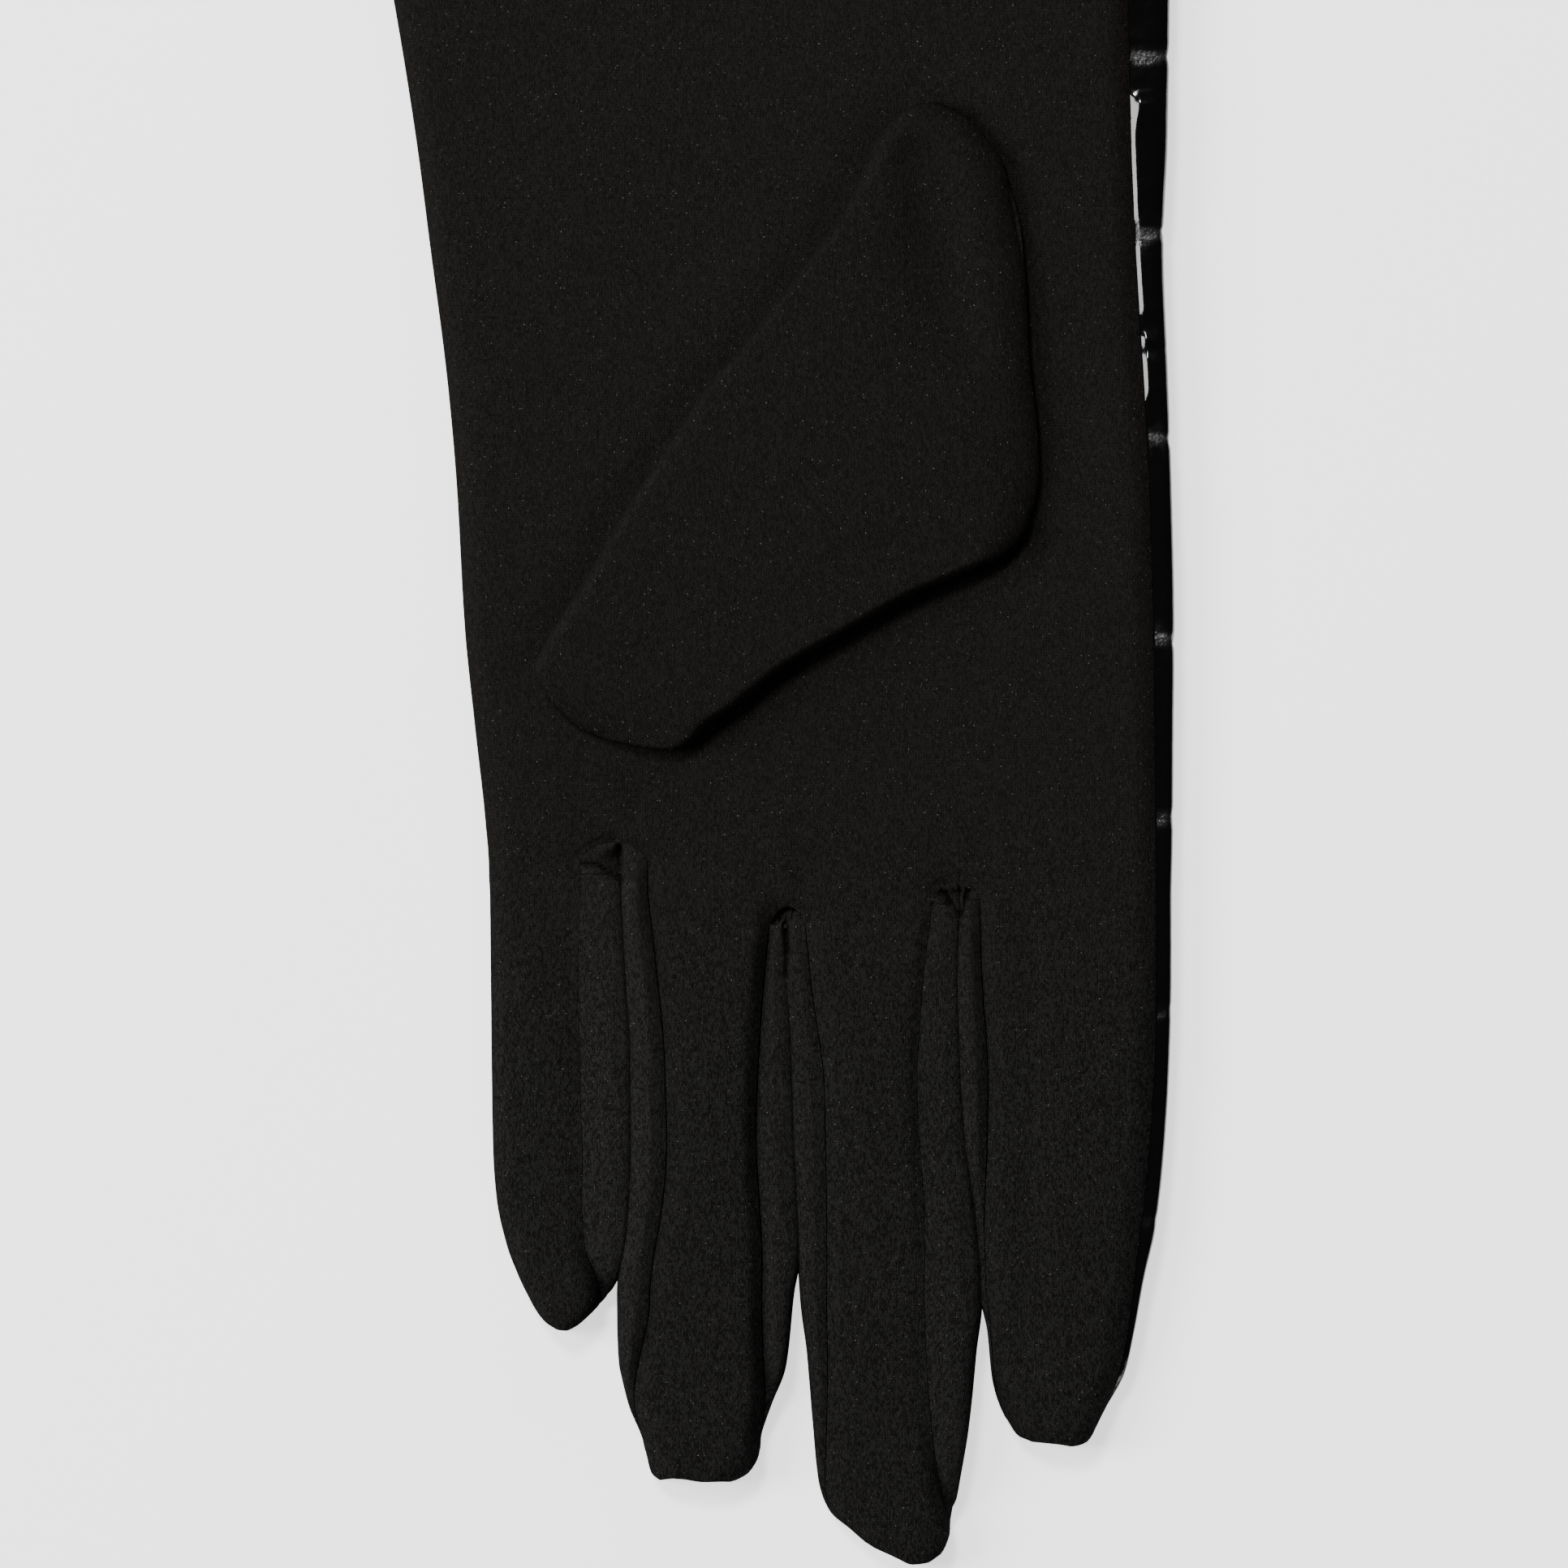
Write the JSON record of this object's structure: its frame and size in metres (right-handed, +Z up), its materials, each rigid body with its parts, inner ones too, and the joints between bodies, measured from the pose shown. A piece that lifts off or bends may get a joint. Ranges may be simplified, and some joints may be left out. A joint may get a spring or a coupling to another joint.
{
  "type": "wrist-length dress glove",
  "caption": "Left-hand wrist-length dress glove, jersey palm and patent embossed back, lying palm up with its thumb folded over.",
  "frame": {"origin": "centre of the bounding box at its base, on the surface that the glove lies on", "axes": "+Y from the fingertips to the open cuff, +Z up out of the palm side, +X towards the index finger's side"},
  "size_m": [0.1064, 0.23, 0.0131],
  "materials": {
    "jersey": "fine matte jersey, near black",
    "patent": "glossy black patent with an embossed scale pattern"
  },
  "bodies": {
    "root": {"palm_panel": "jersey", "back_panel": "patent", "thumb": "jersey", "fourchette_little_ring": "jersey", "fourchette_ring_middle": "jersey", "fourchette_middle_index": "jersey"}
  },
  "joints": []
}
